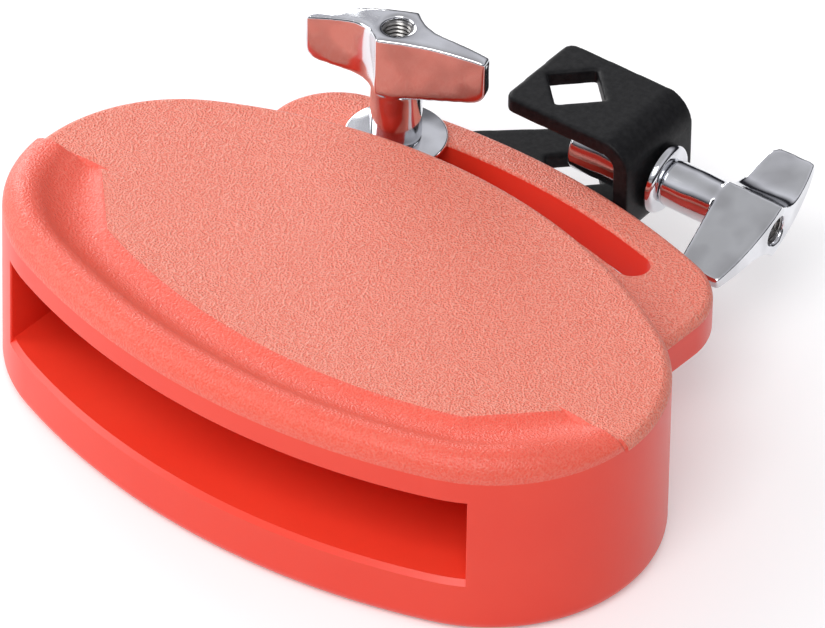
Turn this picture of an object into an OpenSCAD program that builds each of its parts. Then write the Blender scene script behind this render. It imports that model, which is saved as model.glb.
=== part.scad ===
// A moulded percussion block with a resonance slot in its front and a slotted lug behind,
// clamped by a wing nut to a folded steel bracket that grips a stand rod with an eye bolt.
// The origin is under the middle of the block, with the long axis along X and the slot facing -Y.

/* [Block] */
// Length of the block from tip to tip
block_l = 200; // [180:5:240]
// Depth in front of the tips
front_d = 57.2; // [52:0.2:68]
// Depth behind the tips
back_d = 61.6; // [55:0.2:75]
// Radius of the tips, seen from above
tip_r = 47.5; // [42:0.5:50]
// Height of the flat top
top_h = 51.2; // [48:0.2:60]
// Rounding of the top edge behind the lip
top_round = 3; // [1:0.5:5]
// Rounding of the bottom edge
bottom_round = 4; // [1:0.5:6]

/* [Playing lip] */
// Height of the lip's crest above the flat top
lip_h = 5.4; // [3:0.2:7]
// Radius of the crest
crest_r = 6; // [5:0.5:8]
// Distance from the front wall to the flat top, across crest and scoop
lip_w = 25; // [23:0.5:30]
// Depth of the scoop below the flat top
scoop_d = 1; // [0.5:0.1:2]
// Angle by which each end of the lip stops short of the tip
lip_stop_a = 4; // [2:1:10]

/* [Resonance slot] */
// Height of the slot's floor
slot_z = 16.8; // [12:0.2:20]
// Height of the slot
slot_h = 26; // [18:0.2:27]
// Solid plastic at each end of the slot
slot_end = 22.6; // [18:0.2:30]
// Thickness of the wall behind the chamber
back_wall = 10; // [6:1:14]

/* [Lug] */
// Height of the lug's top
lug_top = 38; // [36:1:42]
// Thickness of the lug
lug_t = 12; // [10:0.5:16]
// Distance from each tip of the block to the lug's end
lug_in = 28.4; // [24:0.2:34]
// Radius of the lug's corners, seen from above
lug_corner_r = 21; // [14:1:30]
// Distance from the slot's middle line to the lug's back edge
lug_rim = 14.7; // [13:0.1:18]
// Radius of the slot's middle line
track_r = 190; // [180:5:300]
// Distance from the block's back to the slot's middle line
track_gap = 14.2; // [14:0.1:18]
// Width of the slot in the lug
track_w = 9.5; // [9:0.1:11]
// Distance between the centres of the slot's round ends
track_l = 87; // [80:0.2:92]

/* [Hardware] */
// Diameter of the bolts
bolt_d = 8; // [7:0.1:8.2]
// Clearance all round each bolt in the nut that turns on it
run_gap = 0.08; // [0.05:0.01:0.1]
// Clearance all round each bolt in the plates and washers
hole_gap = 0.25; // [0.2:0.05:0.4]
// Gap left between faces that touch and turn
face_gap = 0.05; // [0.02:0.01:0.1]
// How far each bolt reaches into its wing nut
bolt_reach = 24; // [18:1:28]
// Position of the clamp bolt along the block
clamp_x = -38.4; // [-42:0.2:-30]
// Width of the clamp bolt's hexagonal head across its flats
head_w = 13; // [12:0.5:14]
// Thickness of the head
head_t = 5.3; // [4:0.1:6]
// Diameter of the clamp washer
clamp_washer_d = 28; // [24:0.2:28]
// Thickness of the clamp washer
clamp_washer_t = 1.5; // [1:0.1:2]
// Diameter of the rod washer
rod_washer_d = 19.5; // [16:0.5:22]
// Thickness of the rod washer
rod_washer_t = 2.3; // [1.5:0.1:3]

/* [Wing nut] */
// Height of a wing nut
nut_h = 36.2; // [34:0.1:38]
// Diameter of its hub
hub_d = 14.1; // [13:0.1:14.2]
// Distance from the axis to the end of a wing
wing_l = 26; // [22:0.2:27]
// Thickness of a wing at its end
wing_t = 3.8; // [3:0.1:5]
// Distance from the axis to the corner where a wing leaves the hub
shoulder_y = 8.2; // [7.8:0.1:9]
// Offset of that corner along the wing
shoulder_x = 3; // [2:0.1:5]
// Radius of the hollow side of each wing
hollow_r = 12; // [10:0.5:14]
// Drop of the wing's top edge from hub to end
wing_drop = 3.9; // [2:0.1:5]
// Height of a wing at its end
wing_end_h = 13.4; // [12:0.1:16]
// Height at which the wings leave the hub
wing_root_z = 17.3; // [12:0.1:18]
// Rounding of the wing's lower corner
wing_round = 4; // [2:0.5:5]
// Width of the bevel round the thread's mouth
mouth_bevel = 0.7; // [0.3:0.1:1]
// Turn of the clamp wing nut
clamp_turn = 16.4; // [0:0.1:360]
// Turn of the rod wing nut
rod_turn = 11; // [0:1:20]
// Size of the rod wing nut against the clamp wing nut
rod_nut_k = 0.94; // [0.8:0.01:0.96]

/* [Bracket] */
// Thickness of the steel
plate_t = 4.8; // [3.5:0.1:5]
// Width of the folded strip
strip_w = 30; // [28:1:32]
// Clear height inside the fold
fold_h = 23.1; // [20:0.1:26]
// Outer radius of the bends
bend_r = 8.5; // [6:0.5:10]
// Distance from the rod's axis to the outside of the back plate
back_x = 27.8; // [26:0.2:30]
// Distance from the rod's axis to the free edge of the top plate
front_x = 13; // [12:0.5:16]
// Rounding of the top plate's corners
plate_round = 3; // [1:0.5:5]
// Side of the square rod opening
rod_square = 13.4; // [11:0.2:14]
// Position of the rod's axis along the block
rod_x = -3.3; // [-8:0.1:-2]
// Distance from the block's back to the rod's axis
rod_gap = 42.9; // [41.4:0.1:52]
// Angle between the eye bolt and the long axis of the block
bracket_a = 3; // [2:0.5:8]
// Radius of the arm's end round the clamp bolt
arm_end_r = 13; // [11:0.5:13.5]
// Radius of the arm's bulge between bolt and fold
arm_bulge_r = 16; // [14:0.5:18]
// Offset of the bulge's centre from the rod's axis, along the eye bolt
arm_bulge_x = -20; // [-24:0.5:-18]
// Offset of the bulge's centre from the rod's axis, across the eye bolt
arm_bulge_y = -13.5; // [-16:0.5:-10]
// Distance from the rod's axis to the corner where the arm leaves the fold
arm_corner_x = 11; // [9:0.5:13]

/* [Eye bolt] */
// Height of the middle of the eye bolt's hole above the lower plate
eye_z = 10.9; // [10:0.1:13]
// How far the loose eye bolt hangs down at its outer end
eye_sag = 4; // [0:0.5:5]
// How far the loose eye bolt swings away from the block at its outer end
eye_swing = 3.5; // [0:0.5:5]
// Diameter of the eye
eye_d = 16; // [15.2:0.1:17]
// Distance from the rod's axis to the free end of the eye
eye_end = 3.3; // [1:0.1:4]
// Diameter of the rod hole
rod_hole_d = 13.2; // [8:0.1:13.4]
// Wall between the rod hole and the free end
eye_wall = 3.1; // [1.5:0.1:4]
// Bevel of the free end
eye_bevel = 0.8; // [0.4:0.1:1]

/* [Hidden] */
$fn = 96;
edge_fn = 20;

// Plan of the block: a lens of two large arcs, grown all round by the tip radius
tip_x = block_l / 2 - tip_r;
front_r = arc_r(front_d);
front_y = front_r - front_d;
front_a = atan2(-front_y, tip_x);
back_r = arc_r(back_d);
back_y = back_d - back_r;
back_a = atan2(-back_y, tip_x);

// Laps between the pieces of the rim, too small to see or feel, and of the middle into the rim
lap = tip_r / 1000;
lap_a = 1.2;
core_lap = tip_r / 10;

// Section of the lip: the crest is a circle that runs smoothly into the circle of the scoop
crest_z = top_h + lip_h - crest_r;
reach = lip_w - crest_r;
rise = top_h - scoop_d - crest_z;
scoop_r = bisect(crest_r / 2, reach * 2);
scoop_x = lip_w - sqrt(scoop_r * scoop_r - pow(scoop_r - scoop_d, 2));
scoop_z = top_h - scoop_d + scoop_r;

// Middle line of the lug's slot, and the lug's outline round the same centre
track_y = back_d + track_gap - track_r;
track_a = asin(track_l / 2 / track_r);
lug_z = lug_top - lug_t;
lug_r = track_r + lug_rim;
lug_x = block_l / 2 - lug_in - lug_corner_r;
lug_y = track_y + sqrt(pow(lug_r - lug_corner_r, 2) - lug_x * lug_x);
lug_meet = ([lug_x, lug_y] * lug_r - [0, track_y] * lug_corner_r) / (lug_r - lug_corner_r);
lug_root = back_d / 3;

// Where the clamp bolt stands in the slot
clamp_y = track_y + sqrt(track_r * track_r - clamp_x * clamp_x);
clamp_nut_z = lug_top + clamp_washer_t + 2 * face_gap;
plate_z = lug_z - face_gap - plate_t;

// The rod's axis, and the clamp bolt seen from it, along and across the eye bolt
rod_y = back_d + rod_gap;
arm_x = (clamp_x - rod_x) * cos(bracket_a) + (clamp_y - rod_y) * sin(bracket_a);
arm_y = (clamp_y - rod_y) * cos(bracket_a) - (clamp_x - rod_x) * sin(bracket_a);

// The eye bolt leans in its hole, so its washer touches the back plate on one side only
eye_lean = acos(cos(eye_swing) * cos(eye_sag));
shank_hole_d = bolt_d / cos(eye_lean) + plate_t * tan(eye_lean) + 2 * hole_gap;

// Stack on the eye bolt, outwards from the back plate
washer_x = back_x + rod_washer_d / 2 * tan(eye_lean) + face_gap;
nut_x = washer_x + rod_washer_t + face_gap;
eye_back = back_x - plate_t - eye_d / 2 * tan(eye_lean) - face_gap;

// Side view of a wing
drop_r = (wing_l * wing_l + wing_drop * wing_drop) / (2 * wing_drop);
wing_low_z = nut_h - wing_drop - wing_end_h;
wing_slope = atan2(wing_low_z - wing_root_z, wing_l - hub_d / 2);
round_z = wing_low_z - wing_round * tan(wing_slope) + wing_round / cos(wing_slope);

// Radius of the arc that reaches depth d at the middle and runs smoothly into both tips
function arc_r(d) = (tip_x * tip_x + d * d - tip_r * tip_r) / (2 * (d - tip_r));

// How far apart crest and scoop circles are, against the sum of their radii, for scoop radius r
function miss(r) =
    norm([reach - sqrt(r * r - pow(r - scoop_d, 2)), rise + r]) - crest_r - r;

// Scoop radius between lo and hi at which crest and scoop just touch
function bisect(lo, hi, n = 40) =
    n == 0 ? (lo + hi) / 2
    : miss((lo + hi) / 2) > 0 ? bisect((lo + hi) / 2, hi, n - 1)
    : bisect(lo, (lo + hi) / 2, n - 1);

// Block

// Turns a section about a vertical axis at p, from angle a0 to angle a1
module swept(p, a0, a1) {
    translate(p) rotate(a0) rotate_extrude(angle = a1 - a0) children();
}

// Section through the back, with round outer corners, made smaller all round by inset
module back_section(inset = 0) {
    w = tip_r - inset;
    top = top_h - inset;
    polygon([[0, inset], [tip_r - bottom_round, inset], [w, bottom_round],
             [w, top_h - top_round], [tip_r - top_round, top], [0, top]]);
    translate([tip_r - bottom_round, bottom_round]) circle(bottom_round - inset, $fn = edge_fn);
    translate([tip_r - top_round, top_h - top_round]) circle(top_round - inset, $fn = edge_fn);
}

// Section through the front: round crest, scoop and flat top, made smaller all round by inset
module lip_section(inset = 0) {
    w = tip_r - inset;
    top = top_h - inset;
    crest = [tip_r - crest_r, crest_z];
    scoop = [tip_r - scoop_x, scoop_z];
    touch = crest + (scoop - crest) * (crest_r - inset) / (crest_r + scoop_r);
    difference() {
        union() {
            polygon([[0, inset], [tip_r - bottom_round, inset], [w, bottom_round], [w, crest_z],
                     crest, touch, [scoop[0], top], [0, top]]);
            translate(crest) circle(crest_r - inset, $fn = 2 * edge_fn);
            translate([tip_r - bottom_round, bottom_round])
                circle(bottom_round - inset, $fn = edge_fn);
        }
        translate(scoop) circle(scoop_r + inset + lap);
    }
}

// Everything inside the two large arcs
module block_core() {
    linear_extrude(top_h) intersection() {
        translate([0, front_y]) circle(front_r - tip_r + core_lap);
        translate([0, back_y]) circle(back_r - tip_r + core_lap);
    }
}

// Rim along the two large arcs
module block_sides() {
    swept([0, front_y], -180 - front_a, front_a)
        translate([front_r - tip_r, 0]) lip_section();
    swept([0, back_y], back_a, 180 - back_a)
        translate([back_r - tip_r, 0]) back_section();
}

// Rim round the right tip; it laps under the rim of the sides by a hair
module block_tip() {
    swept([tip_x, 0], front_a - lap_a, -lip_stop_a) lip_section(lap);
    swept([tip_x, 0], -lip_stop_a - lap_a, back_a + lap_a) back_section(2 * lap);
}

// The chamber behind the slot, closed by a wall that follows the block's back
module chamber() {
    half = block_l / 2 - slot_end;
    translate([0, 0, slot_z]) linear_extrude(slot_h) intersection() {
        translate([-half, -2 * front_d]) square([2 * half, 2 * front_d + back_d]);
        translate([0, back_y]) circle(back_r - back_wall);
    }
}

// Lug: a large arc behind, two round corners, and straight sides that end inside the block
module lug() {
    half = lug_x + lug_corner_r;
    translate([0, 0, lug_z]) linear_extrude(lug_t) {
        intersection() {
            translate([0, track_y]) circle(lug_r);
            translate([-lug_meet[0], lug_root]) square([2 * lug_meet[0], lug_r]);
        }
        for (side = [1, -1]) translate([side * lug_x, lug_y]) circle(lug_corner_r);
        polygon([[half, lug_root], [half, lug_y], [lug_x, lug_y], lug_meet,
                 [-lug_meet[0], lug_meet[1]], [-lug_x, lug_y], [-half, lug_y], [-half, lug_root]]);
    }
}

// Curved slot that the clamp bolt travels in; its round ends are narrower by a hair
module track() {
    translate([0, 0, lug_z - lug_t]) {
        swept([0, track_y], 90 - track_a, 90 + track_a)
            translate([track_r - track_w / 2, 0]) square([track_w, 3 * lug_t]);
        for (side = [-1, 1])
            translate([side * track_l / 2, track_y + track_r * cos(track_a)])
                cylinder(d = track_w - 2 * lap, h = 3 * lug_t);
    }
}

module block() {
    color("salmon") difference() {
        union() {
            block_core();
            block_sides();
            for (side = [0, 1]) mirror([side, 0, 0]) block_tip();
            lug();
        }
        chamber();
        track();
    }
}

// Clamp

module washer(d, t) {
    difference() {
        cylinder(d = d, h = t);
        translate([0, 0, -t]) cylinder(d = bolt_d + 2 * hole_gap, h = 3 * t);
    }
}

module at_clamp(z) {
    translate([clamp_x, clamp_y, z]) children();
}

module clamp_bolt() {
    color("silver") at_clamp(plate_z - face_gap) {
        translate([0, 0, -head_t]) cylinder(d = head_w / cos(30), h = head_t, $fn = 6);
        cylinder(d = bolt_d, h = clamp_nut_z + bolt_reach - plate_z);
    }
}

module clamp_washer() {
    color("silver") at_clamp(lug_top + face_gap) washer(clamp_washer_d, clamp_washer_t);
}

module clamp_wing_nut() {
    color("silver") at_clamp(clamp_nut_z) rotate(clamp_turn) wing_nut();
}

// Wing nut

// Outline from above: two wings, each straight on one side and hollow on the other
module wing_plan() {
    end_y = shoulder_y - (shoulder_y - wing_t / 2) * (2 * wing_l + shoulder_x) / (wing_l + shoulder_x);
    difference() {
        polygon([for (s = [1, -1]) each [
            [-s * shoulder_x, -s * shoulder_y],
            [s * 2 * wing_l, -s * end_y],
            [s * 2 * wing_l, s * wing_t / 2],
            [s * hollow_x(), s * wing_t / 2]
        ]]);
        for (s = [1, -1])
            translate([s * hollow_x(), s * (wing_t / 2 + hollow_r)]) circle(hollow_r);
    }
}

// Where the hollow side begins, so that its arc ends at the shoulder
function hollow_x() =
    shoulder_x + sqrt(pow(hollow_r, 2) - pow(hollow_r + wing_t / 2 - shoulder_y, 2));

// Outline from the side: arched top, sloping underside, round lower corners
module wing_side() {
    corner = [wing_l - wing_round, round_z];
    tangent = corner + wing_round * [sin(wing_slope), -cos(wing_slope)];
    intersection() {
        translate([0, nut_h - drop_r]) circle(drop_r);
        union() {
            for (s = [1, -1]) {
                polygon([[0, wing_root_z], [s * hub_d / 2, wing_root_z],
                         [s * tangent[0], tangent[1]], [s * corner[0], corner[1]],
                         [s * wing_l, corner[1]], [s * wing_l, nut_h], [0, nut_h]]);
                translate([s * corner[0], corner[1]]) circle(wing_round);
            }
        }
    }
}

// Hub and wings, before the thread is cut
module wing_body() {
    cylinder(d = hub_d, h = nut_h - wing_drop);
    intersection() {
        linear_extrude(nut_h + wing_drop) wing_plan();
        translate([0, wing_l, 0]) rotate([90, 0, 0]) linear_extrude(2 * wing_l) wing_side();
    }
}

// Wing nut at size k, with its base on the XY plane
module wing_nut(k = 1) {
    difference() {
        scale(k) wing_body();
        translate([0, 0, -nut_h / 2]) cylinder(d = bolt_d + 2 * run_gap, h = 2 * nut_h);
        translate([0, 0, k * nut_h - mouth_bevel])
            cylinder(d1 = bolt_d, d2 = bolt_d + 4 * mouth_bevel, h = 2 * mouth_bevel);
    }
}

// Bracket

// Places a part on the rod's axis, at the top of the lower plate, with X along the eye bolt
module at_rod() {
    translate([rod_x, rod_y, plate_z + plate_t]) rotate(bracket_a) children();
}

// Rectangle with round corners on its right-hand side
module fold_outline(w, h, r) {
    square([w - r, h]);
    translate([0, r]) square([w, h - 2 * r]);
    translate([w - r, r]) circle(r);
    translate([w - r, h - r]) circle(r);
}

// Side view of the folded strip, open towards the free edge
module fold_side() {
    w = front_x + back_x;
    difference() {
        translate([-front_x, -plate_t]) fold_outline(w, fold_h + 2 * plate_t, bend_r);
        translate([-2 * front_x, 0])
            fold_outline(w + front_x - plate_t, fold_h, bend_r - plate_t);
    }
}

// Plan of the strip, with round corners at its free edge
module strip_plan() {
    r = plate_round;
    translate([r - front_x, -strip_w / 2]) square([2 * back_x, strip_w]);
    translate([-front_x, r - strip_w / 2]) square([2 * back_x, strip_w - 2 * r]);
    for (s = [1, -1]) translate([r - front_x, s * (strip_w / 2 - r)]) circle(r);
}

// Plan of the lower plate, which runs on under the lug to the clamp bolt
module arm_plan() {
    hull() {
        translate([arm_x, arm_y]) circle(arm_end_r);
        translate([arm_bulge_x, arm_bulge_y]) circle(arm_bulge_r);
        translate([-arm_corner_x, -strip_w / 2]) square([arm_corner_x, strip_w]);
    }
}

module bracket() {
    color([0.13, 0.13, 0.14]) at_rod() difference() {
        union() {
            intersection() {
                translate([0, strip_w / 2, 0]) rotate([90, 0, 0]) linear_extrude(strip_w) fold_side();
                translate([0, 0, -2 * plate_t]) linear_extrude(fold_h + 4 * plate_t) strip_plan();
            }
            translate([0, 0, -plate_t]) linear_extrude(plate_t) arm_plan();
        }
        translate([0, 0, -2 * plate_t]) rotate(45)
            linear_extrude(fold_h + 4 * plate_t) square(rod_square, center = true);
        translate([arm_x, arm_y, -2 * plate_t]) cylinder(d = bolt_d + 2 * hole_gap, h = 4 * plate_t);
        translate([0, 0, eye_z]) rotate([0, 90, 0]) cylinder(d = shank_hole_d, h = 2 * back_x);
    }
}

// Rod clamp

// Places a part x along the eye bolt, counted from the rod's axis, with Z outwards
module on_eye(x) {
    pivot_x = back_x - plate_t / 2;
    at_rod() translate([pivot_x, 0, eye_z]) rotate([0, eye_sag, eye_swing])
        translate([x - pivot_x, 0, 0]) rotate([0, 90, 0]) children();
}

module eye_bolt() {
    bevel_end = eye_end + eye_bevel;
    color("silver") difference() {
        union() {
            on_eye(eye_end) cylinder(d1 = eye_d - 2 * eye_bevel, d2 = eye_d, h = eye_bevel);
            on_eye(bevel_end) cylinder(d = eye_d, h = eye_back - bevel_end);
            on_eye(bevel_end) cylinder(d = bolt_d, h = nut_x + bolt_reach - bevel_end);
        }
        on_eye(eye_end + eye_wall + rod_hole_d / 2) rotate([0, 90, 0])
            cylinder(d = rod_hole_d, h = 2 * eye_d, center = true);
    }
}

module rod_washer() {
    color("silver") on_eye(washer_x) washer(rod_washer_d, rod_washer_t);
}

module rod_wing_nut() {
    color("silver") on_eye(nut_x) rotate(rod_turn + 90) wing_nut(rod_nut_k);
}

block();
clamp_bolt();
clamp_washer();
clamp_wing_nut();
bracket();
eye_bolt();
rod_washer();
rod_wing_nut();
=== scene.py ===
"""Looks of a moulded percussion block with its clamp, bracket and eye bolt.

Lengths are in millimetres where nothing else is said, and meshes are written in metres. The frame
is the CAD model's own: X along the block, the mouth of the resonance slot towards -Y, Z up.
"""

import math
from collections import namedtuple

import bmesh
import bpy
from mathutils import Matrix, Vector


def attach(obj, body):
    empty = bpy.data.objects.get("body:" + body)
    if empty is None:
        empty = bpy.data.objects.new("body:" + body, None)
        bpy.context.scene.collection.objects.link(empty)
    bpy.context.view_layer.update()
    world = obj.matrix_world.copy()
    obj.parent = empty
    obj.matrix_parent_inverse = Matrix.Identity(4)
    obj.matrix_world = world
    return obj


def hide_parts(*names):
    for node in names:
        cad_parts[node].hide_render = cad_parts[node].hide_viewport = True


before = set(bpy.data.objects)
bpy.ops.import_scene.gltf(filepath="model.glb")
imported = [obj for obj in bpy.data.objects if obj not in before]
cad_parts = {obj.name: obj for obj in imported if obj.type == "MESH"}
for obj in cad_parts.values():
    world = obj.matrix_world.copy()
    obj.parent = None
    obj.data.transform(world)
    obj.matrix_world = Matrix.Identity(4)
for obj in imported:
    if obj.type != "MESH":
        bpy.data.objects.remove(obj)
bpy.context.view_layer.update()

MM = 0.001

# Camera: angles in degrees, image size in pixels
CAM_AZIMUTH = 38.802
CAM_ELEVATION = 38.474
CAM_ROLL = 1.082
CAM_DISTANCE = 3599.9
CAM_TARGET = (26.239, 0.0, 54.815)
CAM_FOCAL_PX = 13809.14
IMAGE_W_PX = 825
SENSOR_W = 36.0
CLIP_NEAR = 100.0
CLIP_FAR = 50000.0

# Floor
FLOOR_DROP = 0.2
FLOOR_SIZE = 8000.0
FLOOR_COLOUR = (0.86, 0.86, 0.86)
FLOOR_GLOW = 0.25

# Lamps: name, place, width and height in metres, power in watts
LAMPS = (
    ("left", (-1300.0, -650.0, 620.0), (1.0, 0.9), 10.0),
    ("low back", (-1250.0, 720.0, 480.0), (0.9, 0.6), 9.0),
    ("fill", (450.0, -1500.0, 230.0), (1.2, 0.8), 1.0),
    ("high", (420.0, -850.0, 1300.0), (1.0, 0.8), 11.2),
)
LAMP_AIM = (0.0, 20.0, 30.0)

# Room: linear colour by the height of the direction, 0 level and 1 straight up
SKY_STOPS = (
    (0.28, (0.02, 0.02, 0.025)),
    (0.62, (0.72, 0.72, 0.76)),
    (0.98, (0.46, 0.46, 0.47)),
)

# Block, the same sizes as the solid's
BLOCK_L = 200.0
FRONT_D = 57.2
BACK_D = 61.6
TIP_R = 47.5
TOP_H = 51.2
TOP_ROUND = 3.0
BOTTOM_ROUND = 4.0
WALL_Z = (40.0, 30.0, 20.0, 10.0)
LIP_H = 5.4
CREST_R = 6.0
LIP_W = 25.0
SCOOP_D = 1.0
SLOT_Z = 16.8
SLOT_H = 26.0
SLOT_END = 22.6
BACK_WALL = 10.0
MOUTH_CHAMFER = 1.5

# Ends of the lip, by the wall's direction in degrees: it stops LIP_STOP_A in front of the tip's
# outermost point, over a band of LIP_FADE_A, and over LIP_GROW_A further to the front it grows
# from the share LIP_END_K to its full height. Round a tip the scoop's edge is a straight line,
# SCOOP_CHORD from the tip's centre, with its normal at SCOOP_CHORD_A.
LIP_STOP_A = 4.0
LIP_FADE_A = 2.2
LIP_END_K = 0.4
LIP_GROW_A = 42.0
SCOOP_CHORD = 20.3
SCOOP_CHORD_A = -43.8

# How far the shell stays inside the solid's outer face
HAIR = 0.1

# Lug and its slot
LUG_TOP = 38.0
LUG_T = 12.0
LUG_IN = 28.4
LUG_CORNER_R = 21.0
LUG_RIM = 14.7
LUG_ROUND = 2.4
TRACK_R = 190.0
TRACK_GAP = 14.2
TRACK_W = 9.5
TRACK_L = 87.0

# Roundings of the openings, which the solid leaves sharp
MOUTH_ROUND = 0.9
TRACK_ROUND = 1.0
TRACK_ROUND_BELOW = 0.2

# Cutters: how far they start outside the surface, and the first step of the chamber's inwards
CUT_OUT = 1.0
CHAMBER_STEP = 4.0

# Steps of roundings in degrees, and of the block's section on top and round its edge
OPENING_ANGLES = (70.0, 50.0, 30.0, 12.0, 0.0)
QUARTER_ANGLES = (0.0, 15.0, 30.0, 45.0, 60.0, 75.0, 90.0)
TOP_STEPS = 12
EDGE_STEPS = 16

# Threads
BOLT_D = 8.0
PITCH = 1.25
THREAD_DEPTH = 0.5
THREAD_SHARP = 1.35
THREAD_TAPER = 0.8
THREAD_END = 1.0
RUN_GAP = 0.08
LINING_T = 0.35
LINING_GAP = 0.4
LINING_SINK = 0.9

# Clamp, washers and nuts
HOLE_GAP = 0.25
FACE_GAP = 0.05
BOLT_REACH = 24.0
CLAMP_X = -38.4
HEAD_W = 13.0
HEAD_T = 5.3
HEAD_CHAMFER = 0.9
HEAD_FACE_K = 0.96
CLAMP_WASHER_D = 28.0
CLAMP_WASHER_T = 1.5
CLAMP_WASHER_BEVEL = 0.5
ROD_WASHER_D = 19.5
ROD_WASHER_T = 2.3
ROD_WASHER_BEVEL = 1.1
WASHER_EDGE = 0.25
NUT_H = 36.2
ROD_NUT_K = 0.94
MOUTH_BEVEL = 0.7

# Bracket and eye bolt, angles in degrees
PLATE_T = 4.8
BACK_X = 27.8
ROD_X = -3.3
ROD_GAP = 42.9
BRACKET_A = 3.0
EYE_Z = 10.9
EYE_SAG = 4.0
EYE_SWING = 3.5
EYE_D = 16.0
EYE_END = 3.3
EYE_WALL = 3.1
EYE_BEVEL = 0.8
EYE_SOFT = 0.5
EYE_RIM_ROUND = 0.45
EYE_RIM_A = 40.0
SHANK_OVERLAP = 0.5
ROD_HOLE_D = 13.2

# Bevelled edges, as shares of the bevel: across from the wall, and down from the face
WASHER_CURVE = ((0.0, 1.0), (0.25, 0.55), (0.6, 0.18), (1.1, 0.0))
EYE_FRONT_CURVE = ((1.3, 0.0), (0.5, 0.25), (0.12, 0.75), (0.0, 1.4))
EYE_BACK_CURVE = ((0.0, 1.0), (0.3, 0.3), (1.0, 0.0))

# Melted edges: voxel size and smoothing passes
FOLD_MELT = (0.5, 6)
CAST_MELT = (0.3, 60)

# Edges that fold by more than this are shaded sharp, in degrees
SHARP_A = 32.0

# Colours, linear
CORAL = (0.93, 0.062, 0.030)
CORAL_DEEP = (0.91, 0.052, 0.025)
# The grain's colours, paler than CORAL: painted sheen, palest on the pebbles' tops
GRAIN_SHEEN_LOW = (0.90, 0.15, 0.09)
GRAIN_SHEEN_HIGH = (0.95, 0.34, 0.25)
BLACK_STEEL = (0.005, 0.005, 0.006)
BLACK_STEEL_WORN = (0.016, 0.016, 0.017)
CHROME = (0.78, 0.79, 0.82)
# Darker chrome mixed in by noise: painted dark reflection streaks
CHROME_PAINTED_STREAK = (0.64, 0.645, 0.67)
# Dark colour of the nuts' thread linings: painted shade inside the bores
THREAD_PAINTED_SHADE = (0.30, 0.29, 0.28)

# Where the grain lies, and with it its paler colour, which is painted sheen: on what faces up by
# GRAIN_FLAT within GRAIN_BAND of the top, and behind GRAIN_Y on all that faces up by GRAIN_TILT,
# down to GRAIN_SINK below the lug's rounded rim. All that is higher than LIP_SINK below the scoop
# has at least the share LIP_GRAIN_AND_HIGHLIGHT of it, which there is partly fine grain and partly
# a painted highlight.
GRAIN_FLAT = 0.9995
GRAIN_BAND = 0.08
GRAIN_Y = -1.4
GRAIN_TILT = 0.12
GRAIN_SINK = 0.1
LIP_SINK = 0.6
# Share of grain colour on lip and crest: partly fine grain, partly a painted highlight
LIP_GRAIN_AND_HIGHLIGHT = 0.4


# Values that follow from the sizes


def arc_radius(depth):
    """Radius of the arc that reaches depth at the middle and runs smoothly into both tips."""
    return (TIP_X**2 + depth**2 - TIP_R**2) / (2 * (depth - TIP_R))


TIP_X = BLOCK_L / 2 - TIP_R
FRONT_R = arc_radius(FRONT_D)
FRONT_Y = FRONT_R - FRONT_D
FRONT_A = math.atan2(-FRONT_Y, TIP_X)
BACK_R = arc_radius(BACK_D)
BACK_Y = BACK_D - BACK_R
BACK_A = math.atan2(-BACK_Y, TIP_X)
TRACK_Y = BACK_D + TRACK_GAP - TRACK_R
CLAMP_Y = TRACK_Y + math.sqrt(TRACK_R**2 - CLAMP_X**2)
CLAMP_NUT_Z = LUG_TOP + CLAMP_WASHER_T + 2 * FACE_GAP
PLATE_Z = LUG_TOP - LUG_T - FACE_GAP - PLATE_T
ROD_Y = BACK_D + ROD_GAP
EYE_LEAN = math.acos(math.cos(math.radians(EYE_SWING)) * math.cos(math.radians(EYE_SAG)))
EYE_BACK = BACK_X - PLATE_T - EYE_D / 2 * math.tan(EYE_LEAN) - FACE_GAP
ROD_WASHER_X = BACK_X + ROD_WASHER_D / 2 * math.tan(EYE_LEAN) + FACE_GAP
ROD_NUT_X = ROD_WASHER_X + ROD_WASHER_T + FACE_GAP


# Shader nodes


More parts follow.
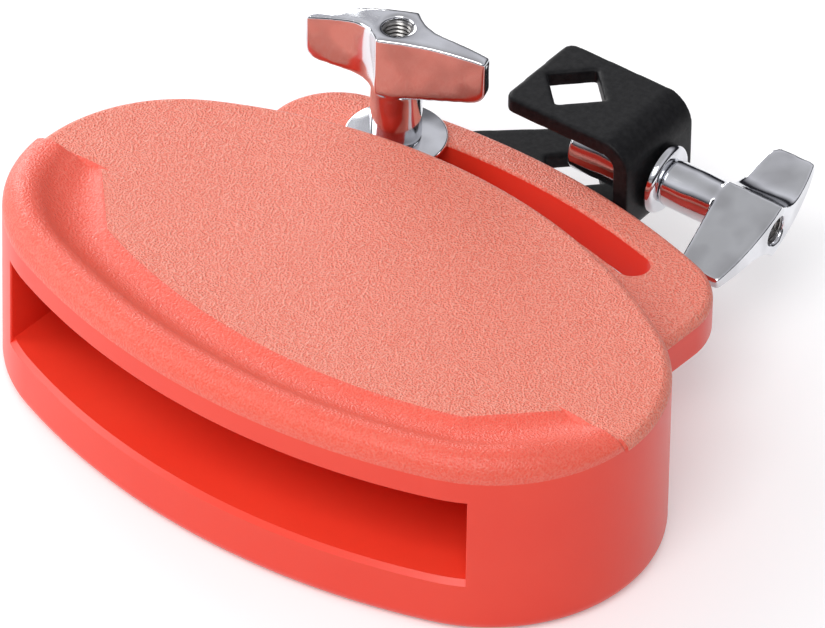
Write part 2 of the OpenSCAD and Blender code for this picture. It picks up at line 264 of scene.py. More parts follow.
class Shader:
    """The node tree of a new material or world, with short calls for adding and joining nodes."""

    def __init__(self, owner, output="ShaderNodeOutputMaterial"):
        owner.use_nodes = True
        self.owner = owner
        self.tree = owner.node_tree
        self.tree.nodes.clear()
        self.output = self.add(output)

    def add(self, kind, **values):
        """Adds a node; a value named as one of its sockets sets that socket, else an attribute."""
        node = self.tree.nodes.new(kind)
        for name, value in values.items():
            label = name.replace("_", " ")
            if label in node.inputs:
                node.inputs[label].default_value = value
            else:
                setattr(node, name, value)
        return node

    def link(self, start, end):
        self.tree.links.new(start, end)

    def calc(self, operation, a, b=None):
        """A math node on sockets or plain numbers."""
        node = self.add("ShaderNodeMath", operation=operation)
        for socket, value in zip(node.inputs, (a, b)):
            if value is None:
                continue
            if isinstance(value, (int, float)):
                socket.default_value = value
            else:
                self.link(value, socket)
        return node.outputs[0]

    def part(self, vector, axis):
        """One coordinate of a vector."""
        parts = self.add("ShaderNodeSeparateXYZ")
        self.link(vector, parts.inputs[0])
        return parts.outputs[axis]

    def place(self):
        """The point on the object, in metres."""
        return self.add("ShaderNodeTexCoord").outputs["Object"]

    def facing_up(self):
        """How far the surface faces up, from -1 to 1."""
        return self.part(self.add("ShaderNodeNewGeometry").outputs["True Normal"], "Z")

    def noise(self, scale, detail):
        node = self.add("ShaderNodeTexNoise", Scale=scale, Detail=detail)
        self.link(self.place(), node.inputs["Vector"])
        return node.outputs["Fac"]

    def cells(self, scale):
        """Distance to the middle of the nearest of many small cells."""
        node = self.add("ShaderNodeTexVoronoi", Scale=scale)
        self.link(self.place(), node.inputs["Vector"])
        return node.outputs["Distance"]

    def ramp(self, value, stops):
        """Colour ramp from (position, linear RGB) stops."""
        node = self.add("ShaderNodeValToRGB")
        points = node.color_ramp.elements
        while len(points) < len(stops):
            points.new(0.5)
        for point, (position, colour) in zip(points, stops):
            point.position = position
            point.color = (*colour, 1.0)
        self.link(value, node.inputs["Fac"])
        return node.outputs["Color"]

    def map_range(self, value, low, high, start=0.0, end=1.0):
        """Value between start and end, taken over to low and high."""
        node = self.add("ShaderNodeMapRange", To_Min=low, To_Max=high, From_Min=start, From_Max=end)
        self.link(value, node.inputs["Value"])
        return node.outputs["Result"]

    def bump(self, height, distance, strength, under=None):
        """Normals of a relief, distance in metres, over the normals of the one under it."""
        node = self.add("ShaderNodeBump", Distance=distance)
        if isinstance(strength, float):
            node.inputs["Strength"].default_value = strength
        else:
            self.link(strength, node.inputs["Strength"])
        self.link(height, node.inputs["Height"])
        if under is not None:
            self.link(under, node.inputs["Normal"])
        return node.outputs["Normal"]

    def finish(self, surface):
        self.link(surface, self.output.inputs["Surface"])
        return self.owner


# Materials


def grain_and_sheen_mask(s, height):
    """1 where the grain and its painted sheen lie: on the flat top, and behind the lip's ends on
    all that faces up, rims and lug included.
    """
    up = s.facing_up()
    off = s.calc("ABSOLUTE", s.calc("SUBTRACT", height, TOP_H * MM))
    flat = s.calc("GREATER_THAN", up, GRAIN_FLAT)
    flat = s.calc("MULTIPLY", flat, s.calc("LESS_THAN", off, GRAIN_BAND * MM))
    behind = s.calc("GREATER_THAN", s.part(s.place(), "Y"), GRAIN_Y * MM)
    behind = s.calc("MULTIPLY", behind, s.calc("GREATER_THAN", up, GRAIN_TILT))
    above = s.calc("GREATER_THAN", height, (LUG_TOP - LUG_ROUND - GRAIN_SINK) * MM)
    return s.calc("MAXIMUM", flat, s.calc("MULTIPLY", behind, above))


def plastic(name):
    """Coral plastic: moulded grain with painted sheen on the flat top and the lug, smooth lip and
    walls.
    """
    s = Shader(bpy.data.materials.new(name))
    skin = s.add("ShaderNodeBsdfPrincipled", IOR=1.48)
    height = s.part(s.place(), "Z")
    grain_and_sheen = grain_and_sheen_mask(s, height)
    # Lip and crest take part of the grain's paler colour: partly fine grain, partly a painted
    # highlight
    lip = s.calc("GREATER_THAN", height, (TOP_H - SCOOP_D - LIP_SINK) * MM)
    share = s.calc("MAXIMUM", grain_and_sheen, s.calc("MULTIPLY", lip, LIP_GRAIN_AND_HIGHLIGHT))
    specks = s.calc("MULTIPLY", s.noise(scale=1500.0, detail=3.0), 1.3)
    pebbles = s.calc("ADD", s.cells(scale=1650.0), specks)
    depth = s.map_range(pebbles, 0.0, 1.0, start=0.7, end=1.5)
    # Grain colour, paler than the smooth coral: painted sheen, palest on the pebbles' tops
    speckled_sheen = s.ramp(depth, [(0.0, GRAIN_SHEEN_LOW), (1.0, GRAIN_SHEEN_HIGH)])
    smooth = s.ramp(s.noise(scale=38.0, detail=4.0), [(0.3, CORAL_DEEP), (0.7, CORAL)])
    colour = s.add("ShaderNodeMix", data_type="RGBA")
    s.link(share, colour.inputs["Factor"])
    s.link(smooth, colour.inputs[6])
    s.link(speckled_sheen, colour.inputs[7])
    s.link(colour.outputs[2], skin.inputs["Base Color"])
    s.link(s.map_range(grain_and_sheen, 0.34, 0.42), skin.inputs["Roughness"])
    faint = s.bump(s.noise(scale=420.0, detail=3.0), distance=0.00006, strength=0.2)
    relief = s.map_range(share, 0.03, 1.0)
    s.link(s.bump(pebbles, distance=0.00034, strength=relief, under=faint), skin.inputs["Normal"])
    return s.finish(skin.outputs[0])


def black_steel(name):
    """Powder-coated steel, near black, with a fine orange peel."""
    s = Shader(bpy.data.materials.new(name))
    skin = s.add("ShaderNodeBsdfPrincipled", Specular_IOR_Level=0.18)
    stops = [(0.35, BLACK_STEEL), (0.8, BLACK_STEEL_WORN)]
    s.link(s.ramp(s.noise(scale=700.0, detail=4.0), stops), skin.inputs["Base Color"])
    s.link(s.map_range(s.noise(scale=260.0, detail=3.0), 0.40, 0.56), skin.inputs["Roughness"])
    peel = s.bump(s.noise(scale=520.0, detail=2.0), distance=0.00010, strength=0.5)
    grit = s.noise(scale=2400.0, detail=2.0)
    s.link(s.bump(grit, distance=0.00006, strength=0.6, under=peel), skin.inputs["Normal"])
    return s.finish(skin.outputs[0])


def chrome(name, roughness=0.08, waviness=0.35, bright=CHROME, dark_streak=CHROME_PAINTED_STREAK):
    """Chrome plate over a polished casting: dark reflection streaks painted into its colour, faint
    waves.
    """
    s = Shader(bpy.data.materials.new(name))
    skin = s.add("ShaderNodeBsdfPrincipled", Metallic=1.0)
    # The colour moves between bright and the darker colour by noise: painted dark reflection
    # streaks
    streaked_colour = s.ramp(s.noise(scale=95.0, detail=1.5), [(0.40, dark_streak), (0.58, bright)])
    s.link(streaked_colour, skin.inputs["Base Color"])
    spread = s.map_range(s.noise(scale=240.0, detail=4.0), roughness, roughness + 0.07)
    s.link(spread, skin.inputs["Roughness"])
    waves = s.bump(s.noise(scale=75.0, detail=1.0), distance=0.003, strength=waviness)
    s.link(waves, skin.inputs["Normal"])
    return s.finish(skin.outputs[0])


# Camera, floor and light


def camera_axes():
    """Right, up and backward directions of the camera."""
    a = math.radians(CAM_AZIMUTH)
    e = math.radians(CAM_ELEVATION)
    roll = math.radians(CAM_ROLL)
    back = Vector((math.sin(a) * math.cos(e), -math.cos(a) * math.cos(e), math.sin(e)))
    level = Vector((math.cos(a), math.sin(a), 0.0))
    upright = back.cross(level)
    right = level * math.cos(roll) + upright * math.sin(roll)
    up = upright * math.cos(roll) - level * math.sin(roll)
    return right, up, back


def add_camera():
    """A long lens far away, with a small roll."""
    data = bpy.data.cameras.new("camera")
    camera = bpy.data.objects.new("camera", data)
    bpy.context.scene.collection.objects.link(camera)
    right, up, back = camera_axes()
    place = (Vector(CAM_TARGET) + back * CAM_DISTANCE) * MM
    turn = Matrix((right, up, back)).transposed().to_4x4()
    camera.matrix_world = Matrix.Translation(place) @ turn
    data.sensor_fit = "HORIZONTAL"
    data.sensor_width = SENSOR_W
    data.lens = CAM_FOCAL_PX * SENSOR_W / IMAGE_W_PX
    data.clip_start = CLIP_NEAR * MM
    data.clip_end = CLIP_FAR * MM
    bpy.context.scene.camera = camera


def floor_material():
    """Matt grey that glows a little to the camera and in reflections, so it shows as white."""
    s = Shader(bpy.data.materials.new("floor"))
    matt = s.add("ShaderNodeBsdfDiffuse", Color=(*FLOOR_COLOUR, 1.0))
    glow = s.add("ShaderNodeEmission", Color=(1.0, 1.0, 1.0, 1.0), Strength=FLOOR_GLOW)
    both = s.add("ShaderNodeAddShader")
    s.link(matt.outputs[0], both.inputs[0])
    s.link(glow.outputs[0], both.inputs[1])
    ray = s.add("ShaderNodeLightPath").outputs
    seen = s.calc("MAXIMUM", ray["Is Camera Ray"], ray["Is Glossy Ray"])
    seen = s.calc("MAXIMUM", seen, ray["Is Transmission Ray"])
    choice = s.add("ShaderNodeMixShader")
    s.link(seen, choice.inputs["Fac"])
    s.link(matt.outputs[0], choice.inputs[1])
    s.link(both.outputs[0], choice.inputs[2])
    return s.finish(choice.outputs[0])


def add_floor():
    half = FLOOR_SIZE / 2
    corners = [(-half, -half), (half, -half), (half, half), (-half, half)]
    verts = [(x * MM, y * MM, -FLOOR_DROP * MM) for x, y in corners]
    mesh = bpy.data.meshes.new("floor")
    mesh.from_pydata(verts, [], [(0, 1, 2, 3)])
    mesh.materials.append(floor_material())
    floor = bpy.data.objects.new("floor", mesh)
    bpy.context.scene.collection.objects.link(floor)


def add_world():
    """A studio room: dark near the horizon, light towards the ceiling."""
    world = bpy.data.worlds.new("studio")
    bpy.context.scene.world = world
    s = Shader(world, "ShaderNodeOutputWorld")
    sky = s.add("ShaderNodeBackground", Strength=1.0)
    rise = s.part(s.add("ShaderNodeTexCoord").outputs["Generated"], "Z")
    s.link(s.ramp(rise, SKY_STOPS), sky.inputs["Color"])
    s.finish(sky.outputs[0])


def add_lamps():
    """Rectangular soft boxes, all turned to LAMP_AIM."""
    for name, place, size, power in LAMPS:
        data = bpy.data.lights.new(name, "AREA")
        data.shape = "RECTANGLE"
        data.size = size[0]
        data.size_y = size[1]
        data.energy = power
        lamp = bpy.data.objects.new(name, data)
        bpy.context.scene.collection.objects.link(lamp)
        lamp.location = Vector(place) * MM
        aim = Vector(LAMP_AIM) * MM - Vector(place) * MM
        lamp.rotation_mode = "QUATERNION"
        lamp.rotation_quaternion = aim.to_track_quat("-Z", "Y")


# Objects from shapes. A shape is a pair: points in mm, and faces that index them.


def turn_outwards(mesh):
    """Turns all faces of a mesh to the outside."""
    work = bmesh.new()
    work.from_mesh(mesh)
    bmesh.ops.recalc_face_normals(work, faces=work.faces)
    work.to_mesh(mesh)
    work.free()


def bare_object(name, shape):
    """An object from a shape, without finish or body yet."""
    verts, faces = shape
    mesh = bpy.data.meshes.new(name)
    mesh.from_pydata([Vector(v) * MM for v in verts], [], faces)
    turn_outwards(mesh)
    piece = bpy.data.objects.new(name, mesh)
    bpy.context.scene.collection.objects.link(piece)
    return piece


def dress(piece, body, slot, material, node=None):
    """Gives a piece its finish and its body; it stands for node if one is named."""
    mesh = piece.data
    mesh.materials.clear()
    mesh.materials.append(material)
    mesh.shade_smooth()
    mesh.set_sharp_from_angle(angle=math.radians(SHARP_A))
    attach(piece, body)
    if node:
        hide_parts(node)
    return piece


def add_piece(name, shape, body, slot, material, node=None):
    return dress(bare_object(name, shape), body, slot, material, node)


def boolean(piece, tool, operation):
    """Joins tool to piece, or cuts it away, and deletes tool."""
    step = piece.modifiers.new(operation, "BOOLEAN")
    step.operation = operation
    step.solver = "EXACT"
    step.object = tool
    bpy.context.view_layer.update()
    shape = piece.evaluated_get(bpy.context.evaluated_depsgraph_get())
    mesh = bpy.data.meshes.new_from_object(shape)
    piece.modifiers.clear()
    old = piece.data
    piece.data = mesh
    bpy.data.meshes.remove(old)
    bpy.data.objects.remove(tool)


def carved_object(name, shape, steps):
    """An object from a shape and (operation, name of the tool, its shape) steps."""
    piece = bare_object(name, shape)
    for operation, tool_name, tool_shape in steps:
        boolean(piece, bare_object(tool_name, tool_shape), operation)
    turn_outwards(piece.data)
    return piece


def even_normals(piece):
    """Large faces shade flat, and the roundings between them carry the turn."""
    piece.modifiers.new("normals", "WEIGHTED_NORMAL").keep_sharp = True


# Shapes


def loft(rings, caps=True):
    """Closed rings joined one after the other, with flat faces at both ends."""
    count = len(rings[0])
    verts = [point for ring in rings for point in ring]
    faces = []
    for k in range(len(rings) - 1):
        for i in range(count):
            j = (i + 1) % count
            faces.append((k * count + i, k * count + j, (k + 1) * count + j, (k + 1) * count + i))
    if caps:
        faces.append(tuple(reversed(range(count))))
        faces.append(tuple(range((len(rings) - 1) * count, len(rings) * count)))
    return verts, faces


def loop(rings):
    """Closed rings joined one after the other, and the last to the first."""
    verts, faces = loft(rings + rings[:1], caps=False)
    count = len(verts) - len(rings[0])
    return verts[:count], [tuple(v % count for v in face) for face in faces]


def round_ring(place, z, radii):
    """Points round the Z axis of place at height z, one for each radius, at equal angles."""
    points = []
    for i, r in enumerate(radii):
        a = 2 * math.pi * i / len(radii)
        points.append(place @ Vector((r * math.cos(a), r * math.sin(a), z)))
    return points


def lathe(profile, place, steps):
    """Closed profile of (radius, height) points turned about the Z axis of place."""
    rings = []
    for i in range(steps):
        a = 2 * math.pi * i / steps
        rings.append([place @ Vector((r * math.cos(a), r * math.sin(a), z)) for r, z in profile])
    return loop(rings)


def arc(centre, radius, start, end, steps):
    """(point, outward normal) pairs from the angle start up to end, which is left out."""
    pairs = []
    for i in range(steps):
        a = start + (end - start) * i / steps
        normal = Vector((math.cos(a), math.sin(a)))
        pairs.append((Vector(centre) + normal * radius, normal))
    return pairs


def rounding(radius, angles):
    """(in from the wall, down from the face) pairs of a rounded edge; 0 degrees is on the wall."""
    pairs = []
    for angle in angles:
        a = math.radians(angle)
        pairs.append((radius * (1 - math.cos(a)), radius * (1 - math.sin(a))))
    return pairs


def opening_steps(radius):
    """(depth, widening) pairs for a cutter whose mouth leaves a rounded edge.

    The first pair lies outside the surface, by CUT_OUT; the last is where the rounding ends.
    """
    pairs = [(depth, widening) for widening, depth in rounding(radius, OPENING_ANGLES)]
    depth, widening = pairs[0]
    a = math.radians(OPENING_ANGLES[0])
    run = (CUT_OUT + depth) / math.cos(a)
    return [(-CUT_OUT, widening + run * math.sin(a))] + pairs


# Block


Station = namedtuple("Station", "point normal fade grown edge")


def ease(t):
    """Smooth step from 0 to 1."""
    t = max(0.0, min(1.0, t))
    return t * t * (3 - 2 * t)


def lip_station(point, normal, on_tip):
    """What the lip does at a point of the inner outline.

    fade is the share of the lip's section against the back's, grown the share of its full height,
    and edge the distance of the scoop's edge from the point.
    """
    slope = math.degrees(math.asin(max(-1.0, min(1.0, normal.y))))
    past = slope + LIP_STOP_A
    fade = ease(0.5 - past / LIP_FADE_A)
    grown = LIP_END_K + (1 - LIP_END_K) * ease(-past / LIP_GROW_A)
    edge = TIP_R - LIP_W
    if on_tip:
        turn = min(slope, -LIP_STOP_A) - SCOOP_CHORD_A
        edge = SCOOP_CHORD / math.cos(math.radians(turn))
    return Station(point, normal, fade, grown, edge)


def plan_stations():
    """Stations round the block: right tip, back, left tip, front."""
    stop = math.radians(LIP_STOP_A)
    band = math.radians(LIP_FADE_A)
    # Start, end and steps round the right tip, with close steps where the lip stops
    tip = [
        (FRONT_A, -stop - band, 48),
        (-stop - band, -stop + band, 30),
        (-stop + band, BACK_A, 36),
    ]
    arcs = []
    for start, end, steps in tip:
        arcs.append(((TIP_X, 0.0), 0.0, start, end, steps))
    arcs.append(((0.0, BACK_Y), BACK_R - TIP_R, BACK_A, math.pi - BACK_A, 80))
    for start, end, steps in reversed(tip):
        arcs.append(((-TIP_X, 0.0), 0.0, math.pi - end, math.pi - start, steps))
    arcs.append(((0.0, FRONT_Y), FRONT_R - TIP_R, -math.pi - FRONT_A, FRONT_A, 80))
    stations = []
    for centre, radius, start, end, steps in arcs:
        for point, normal in arc(centre, radius, start, end, steps):
            stations.append(lip_station(point, normal, on_tip=radius == 0.0))
    return stations


def scoop_radius(reach, rise):
    """Radius of the scoop's arc that touches the crest's.

    reach and rise lead from the crest's centre to the scoop's edge and to its lowest point.
    """

    def miss(r):
        """How far apart the two arcs are at radius r."""
        across = reach - math.sqrt(r * r - (r - SCOOP_D) ** 2)
        return math.hypot(across, rise + r) - CREST_R - r

    low = CREST_R / 2
    high = reach * 2
    for _ in range(50):
        middle = (low + high) / 2
        if miss(middle) > 0:
            low = middle
        else:
            high = middle
    return (low + high) / 2


def lip_profile():
    """Front section from the flat top's edge over scoop and crest to the wall."""
    crest = Vector((TIP_R - CREST_R, TOP_H + LIP_H - CREST_R))
    radius = scoop_radius(LIP_W - CREST_R, TOP_H - SCOOP_D - crest.y)
    half = math.sqrt(radius**2 - (radius - SCOOP_D) ** 2)
    scoop = Vector((TIP_R - LIP_W + half, TOP_H - SCOOP_D + radius))
    touch = math.atan2(scoop.y - crest.y, scoop.x - crest.x)
    start = math.atan2(TOP_H - scoop.y, -half)
    end = touch - math.pi
    points = []
    for i in range(TOP_STEPS):
        a = start + (end - start) * i / TOP_STEPS
        points.append((scoop.x + radius * math.cos(a), scoop.y + radius * math.sin(a)))
    for i in range(EDGE_STEPS + 1):
        a = touch * (1 - i / EDGE_STEPS)
        points.append((crest.x + CREST_R * math.cos(a), crest.y + CREST_R * math.sin(a)))
    return points


def back_profile():
    """Back section with as many points as the front one."""
    points = []
    for i in range(TOP_STEPS):
        points.append((TIP_R - LIP_W + (LIP_W - TOP_ROUND) * i / TOP_STEPS, TOP_H))
    angles = [90.0 * (1 - i / EDGE_STEPS) for i in range(EDGE_STEPS + 1)]
    return points + [(TIP_R - u, TOP_H - z) for u, z in rounding(TOP_ROUND, angles)]


def wall_profile():
    """Wall and bottom edge, which front and back share."""
    points = [(TIP_R, z) for z in (*WALL_Z, BOTTOM_ROUND)]
    return points + [(TIP_R - u, z) for u, z in rounding(BOTTOM_ROUND, QUARTER_ANGLES[1:])]


def block_body():
    """The block without lug and openings: a section swept round the stations."""
    stations = plan_stations()
    wall = wall_profile()
    front = lip_profile() + wall
    back = back_profile() + wall
    inner = TIP_R - LIP_W
    crest = TIP_R - CREST_R
    rings = []
    for (front_u, front_z), (back_u, back_z) in zip(front, back):
        ring = []
        for station in stations:
            u = front_u
            if u <= crest:
                u = crest - (crest - u) * (crest - station.edge) / (crest - inner)
            z = front_z
            if z > TOP_H:
                z = TOP_H + (z - TOP_H) * station.grown
            u = u * station.fade + back_u * (1 - station.fade) - HAIR
            z = z * station.fade + back_z * (1 - station.fade)
            point = station.point + station.normal * u
            ring.append((point.x, point.y, z))
        rings.append(ring)
    return loft(rings)


def front_wall(depth):
    """Function for Y of the front wall at x, that far under its surface."""

    def y_at(x):
        x = abs(x)
        if x <= TIP_X + (TIP_R - depth) * math.cos(FRONT_A):
            return FRONT_Y - math.sqrt((FRONT_R - depth) ** 2 - x * x)
        return -math.sqrt((TIP_R - depth) ** 2 - (x - TIP_X) ** 2)

    return y_at


def chamber_back(x):
    """Y of the chamber's inner wall at x."""
    return BACK_Y + math.sqrt((BACK_R - BACK_WALL) ** 2 - x * x)


def chamber_cutter():
    """The chamber behind the mouth, with a rounded mouth that has a chamfer below."""
    half = BLOCK_L / 2 - SLOT_END
    columns = 64

    def ring(widen, lower, y_at):
        xs = [(half + widen) * (2 * i / columns - 1) for i in range(columns + 1)]
        under = [(x, y_at(x), SLOT_Z - lower) for x in xs]
        over = [(x, y_at(x), SLOT_Z + SLOT_H + widen) for x in reversed(xs)]
        return under + over

    rings = []
    for depth, widen in opening_steps(MOUTH_ROUND):
        rings.append(ring(widen, MOUTH_CHAMFER - depth, front_wall(depth)))
    for depth in (MOUTH_CHAMFER, MOUTH_CHAMFER + CHAMBER_STEP):
        rings.append(ring(0.0, 0.0, front_wall(depth)))
    rings.append(ring(0.0, 0.0, chamber_back))
    verts, faces = loft(rings, caps=False)
    count = len(rings[0])
    for start in (0, (len(rings) - 1) * count):
        end = start + count - 1
        for i in range(columns):
            faces.append((start + i, start + i + 1, end - 1 - i, end - i))
    return verts, faces


def lug_outline():
    """Outline of the lug seen from above: (point, outward normal)."""
    outer = TRACK_R + LUG_RIM
    centre_x = BLOCK_L / 2 - LUG_IN - LUG_CORNER_R
    centre_y = TRACK_Y + math.sqrt((outer - LUG_CORNER_R) ** 2 - centre_x**2)
    meet = math.atan2(centre_y - TRACK_Y, centre_x)
    right = [(Vector((centre_x + LUG_CORNER_R, BACK_D / 3)), Vector((1.0, 0.0)))]
    right += arc((centre_x, centre_y), LUG_CORNER_R, 0.0, meet, 24)
    right += arc((0.0, TRACK_Y), outer, meet, math.pi / 2, 20)
    top = (Vector((0.0, TRACK_Y + outer)), Vector((0.0, 1.0)))
    flip = Vector((-1.0, 1.0))
    left = [(point * flip, normal * flip) for point, normal in reversed(right)]
    return right + [top] + left


def track_outline():
    """Outline of the lug's slot seen from above: (point, normal that points out of the slot)."""
    sweep = math.asin(TRACK_L / 2 / TRACK_R)
    low = math.pi / 2 - sweep
    high = math.pi / 2 + sweep
    centre = Vector((0.0, TRACK_Y))

    def end_cap(a, start):
        middle = centre + Vector((math.cos(a), math.sin(a))) * TRACK_R
        return arc(middle, TRACK_W / 2, start, start + math.pi, 20)

    outer = arc(centre, TRACK_R + TRACK_W / 2, low, high, 48)
    inner = arc(centre, TRACK_R - TRACK_W / 2, high, low, 48)
    inner = [(point, -normal) for point, normal in inner]
    return outer + end_cap(high, high) + inner + end_cap(low, low + math.pi)


def level_rings(outline, levels):
    """Rings of the outline moved out by the second number of each (height, offset) level."""
    rings = []
    for z, offset in levels:
        rings.append([(*(point + normal * offset), z) for point, normal in outline])
    return rings


def lug_body():
    """The lug, rounded above and below, and long enough to end inside the block."""
    low = LUG_TOP - LUG_T
    below = [(low + down, -across) for across, down in rounding(LUG_ROUND / 2, QUARTER_ANGLES)]
    above = [(LUG_TOP - down, -across) for across, down in rounding(LUG_ROUND, QUARTER_ANGLES)]
    return loft(level_rings(lug_outline(), below[::-1] + above))


def track_cutter():
    """The lug's slot with rounded rims above and below."""
    low = LUG_TOP - LUG_T
    below = [(low + depth, widen) for depth, widen in opening_steps(TRACK_ROUND_BELOW)]
    above = [(LUG_TOP - depth, widen) for depth, widen in opening_steps(TRACK_ROUND)]
    return loft(level_rings(track_outline(), below + above[::-1]))


def build_block():
    """The shell: body and lug in one piece, with the chamber and the lug's slot cut out."""
    piece = carved_object("block_shell", block_body(), [
        ("UNION", "lug", lug_body()),
        ("DIFFERENCE", "chamber", chamber_cutter()),
        ("DIFFERENCE", "track", track_cutter()),
    ])
    dress(piece, "block", "block_plastic", plastic("coral_plastic"), "block")
    even_normals(piece)


# Hardware


def cast_node(node, name, body, slot, material, melt):
    """A copy of a CAD node with its edges melted round, as a casting's are."""
    verts = [tuple(v.co / MM) for v in node.data.vertices]
    faces = [tuple(f.vertices) for f in node.data.polygons]
    piece = add_piece(name, (verts, faces), body, slot, material, node.name)
    voxel, passes = melt
    grid = piece.modifiers.new("grid", "REMESH")
    grid.mode = "VOXEL"
    grid.voxel_size = voxel * MM
    grid.use_smooth_shade = True
    soft = piece.modifiers.new("soft", "SMOOTH")
    soft.factor = 0.5
    soft.iterations = passes


def thread_waves(z, sides):
    """Round the height z: 0 at the thread's root, 1 at its crest."""
    waves = []
    for i in range(sides):
        turns = z / PITCH - i / sides
        off = abs(turns - math.floor(turns) - 0.5)
        waves.append(min(1.0, max(0.0, THREAD_SHARP - 2 * THREAD_SHARP * off)))
    return waves


def threaded_rod(place, length, sides=28, rows_per_turn=6):
    """A thread along Z of place from 0 to length, with a tapered end at length."""
    crest = BOLT_D / 2
    rows = int(length / PITCH * rows_per_turn)
    rings = []
    for k in range(rows + 1):
        z = length * k / rows
        limit = crest - max(0.0, z - (length - THREAD_END)) * THREAD_TAPER
        waves = thread_waves(z, sides)
        radii = [min(crest - THREAD_DEPTH * (1 - wave), limit) for wave in waves]
        rings.append(round_ring(place, z, radii))
    return loft(rings)


def thread_lining(place, height, sides=40, rows_per_turn=8):
    """The thread of a nut of that height, as a thin sleeve in its bore above the bolt's end."""
    bore = BOLT_D / 2 + RUN_GAP
    start = BOLT_REACH + LINING_GAP
    end = height - MOUTH_BEVEL - LINING_SINK
    rows = int((end - start) / PITCH * rows_per_turn)
    rings = []
    for k in range(rows + 1):
        z = start + (end - start) * k / rows
        radii = [bore - THREAD_DEPTH * wave for wave in thread_waves(z, sides)]
        rings.append(round_ring(place, z, radii))
    for z in (end, start):
        rings.append(round_ring(place, z, [bore + LINING_T] * sides))
    return loop(rings)


def washer(place, outer, thick, bevel, steps):
    """A washer: a wide bevel on the outer face and small roundings elsewhere."""
    hole = BOLT_D / 2 + HOLE_GAP
    edge = WASHER_EDGE
    profile = [(hole, edge), (hole + edge, 0.0), (outer - edge, 0.0), (outer, edge)]
    profile += [(outer - bevel * across, thick - bevel * down) for across, down in WASHER_CURVE]
    profile += [(hole + edge, thick), (hole, thick - edge)]
    return lathe(profile, place, steps)


def hex_head(place, steps=72):
    """Hexagonal head below the origin of place, with a chamfered outer face."""
    sixth = math.pi / 3
    hexagon = []
    for i in range(steps):
        off = (2 * math.pi * i / steps + sixth / 2) % sixth - sixth / 2
        hexagon.append(HEAD_W / 2 / math.cos(off))
    face = [min(r, HEAD_W / 2 * HEAD_FACE_K) for r in hexagon]
    levels = ((0.0, hexagon), (HEAD_CHAMFER - HEAD_T, hexagon), (-HEAD_T, face))
    return loft([round_ring(place, z, radii) for z, radii in levels])


def rod_place():
    """Frame on the rod's axis at the top of the lower plate, X along the eye bolt."""
    turn = Matrix.Rotation(math.radians(BRACKET_A), 4, "Z")
    return Matrix.Translation((ROD_X, ROD_Y, PLATE_Z + PLATE_T)) @ turn


def eye_place(x):
    """Frame at x along the leaning eye bolt, Z outwards."""
    pivot = BACK_X - PLATE_T / 2
    swing = Matrix.Rotation(math.radians(EYE_SWING), 4, "Z")
    sag = Matrix.Rotation(math.radians(EYE_SAG), 4, "Y")
    outwards = Matrix.Rotation(math.radians(90.0), 4, "Y")
    hole = rod_place() @ Matrix.Translation((pivot, 0.0, EYE_Z))
    return hole @ (swing @ sag) @ Matrix.Translation((x - pivot, 0.0, 0.0)) @ outwards


def eye_stub():
    """The eye's turned stub, bevelled at its free end."""
    r = EYE_D / 2
    length = EYE_BACK - EYE_END
    profile = [(r - EYE_BEVEL * across, EYE_BEVEL * along) for across, along in EYE_FRONT_CURVE]
    for across, along in EYE_BACK_CURVE:
        profile.append((r - EYE_SOFT * across, length - EYE_SOFT * along))
    return loft([round_ring(eye_place(EYE_END), z, [radius] * 96) for radius, z in profile])


def eye_hole():
    """Cutter for the rod's hole across the eye."""
    centre = eye_place(EYE_END + EYE_WALL + ROD_HOLE_D / 2)
    across = centre @ Matrix.Rotation(math.pi / 2, 4, "Y")
    return loft([round_ring(across, z, [ROD_HOLE_D / 2] * 80) for z in (-EYE_D, EYE_D)])


def build_eye(material):
    """The eye with its hole for the rod, and its threaded shank."""
    piece = carved_object("eye_turned", eye_stub(), [("DIFFERENCE", "eye_hole", eye_hole())])
    dress(piece, "eye_bolt", "chrome_hardware", material, "eye_bolt")
    bevel = piece.modifiers.new("rounding", "BEVEL")
    bevel.width = EYE_RIM_ROUND * MM
    bevel.segments = 2
    bevel.limit_method = "ANGLE"
    bevel.angle_limit = math.radians(EYE_RIM_A)
    even_normals(piece)
    start = EYE_BACK - SHANK_OVERLAP
    shank = threaded_rod(eye_place(start), ROD_NUT_X + BOLT_REACH - start)
    add_piece("eye_shank", shank, "eye_bolt", "chrome_hardware", material)


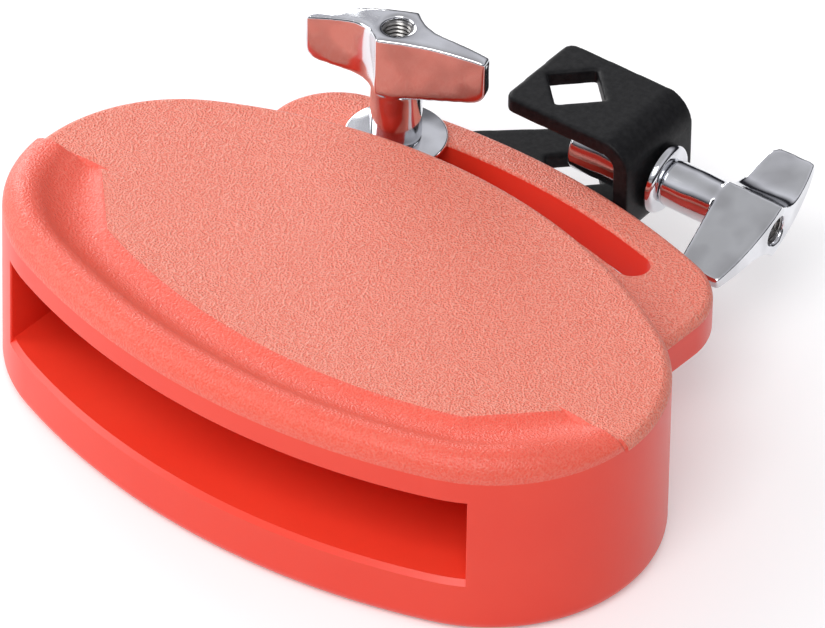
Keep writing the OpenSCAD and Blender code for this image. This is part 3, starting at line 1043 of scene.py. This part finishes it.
def build_hardware(nodes):
    """Bracket, wing nuts, washers, clamp bolt, threads and eye bolt."""
    steel = black_steel("black_steel")
    bright = chrome("chrome")
    polished = chrome("chrome_polished", roughness=0.04, waviness=0.05)
    # The thread linings' dark colour is painted shade deep in the nuts' bores
    bore = chrome("bore_painted_shade", 0.25, 0.3, THREAD_PAINTED_SHADE, THREAD_PAINTED_SHADE)

    castings = (
        ("bracket", "bracket_coated", "black_steel", steel, FOLD_MELT),
        ("clamp_wing_nut", "clamp_nut_cast", "chrome_hardware", bright, CAST_MELT),
        ("rod_wing_nut", "rod_nut_cast", "chrome_hardware", bright, CAST_MELT),
    )
    for body, name, slot, material, melt in castings:
        cast_node(nodes[body], name, body, slot, material, melt)

    lug_face = Matrix.Translation((CLAMP_X, CLAMP_Y, LUG_TOP + FACE_GAP))
    arm_face = Matrix.Translation((CLAMP_X, CLAMP_Y, PLATE_Z - FACE_GAP))
    nut_face = Matrix.Translation((CLAMP_X, CLAMP_Y, CLAMP_NUT_Z))
    clamp_washer = washer(lug_face, CLAMP_WASHER_D / 2, CLAMP_WASHER_T, CLAMP_WASHER_BEVEL, 128)
    rod_washer = washer(
        eye_place(ROD_WASHER_X), ROD_WASHER_D / 2, ROD_WASHER_T, ROD_WASHER_BEVEL, 96
    )
    clamp_rod = threaded_rod(arm_face, CLAMP_NUT_Z + BOLT_REACH - PLATE_Z)
    clamp_lining = thread_lining(nut_face, NUT_H)
    rod_lining = thread_lining(eye_place(ROD_NUT_X), ROD_NUT_K * NUT_H)
    pieces = (
        ("clamp_washer_plated", clamp_washer, "clamp_carriage", bright, "clamp_washer"),
        ("rod_washer_plated", rod_washer, "bracket", polished, "rod_washer"),
        ("clamp_bolt_head", hex_head(arm_face), "clamp_bolt", bright, "clamp_bolt"),
        ("clamp_bolt_thread", clamp_rod, "clamp_bolt", bright, None),
        ("clamp_nut_thread", clamp_lining, "clamp_wing_nut", bore, None),
        ("rod_nut_thread", rod_lining, "rod_wing_nut", bore, None),
    )
    for name, shape, body, material, node in pieces:
        add_piece(name, shape, body, "chrome_hardware", material, node)
    build_eye(bright)


# Scene

add_camera()
add_floor()
add_world()
add_lamps()
bpy.context.scene.view_settings.view_transform = "Standard"
build_block()
build_hardware(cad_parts)
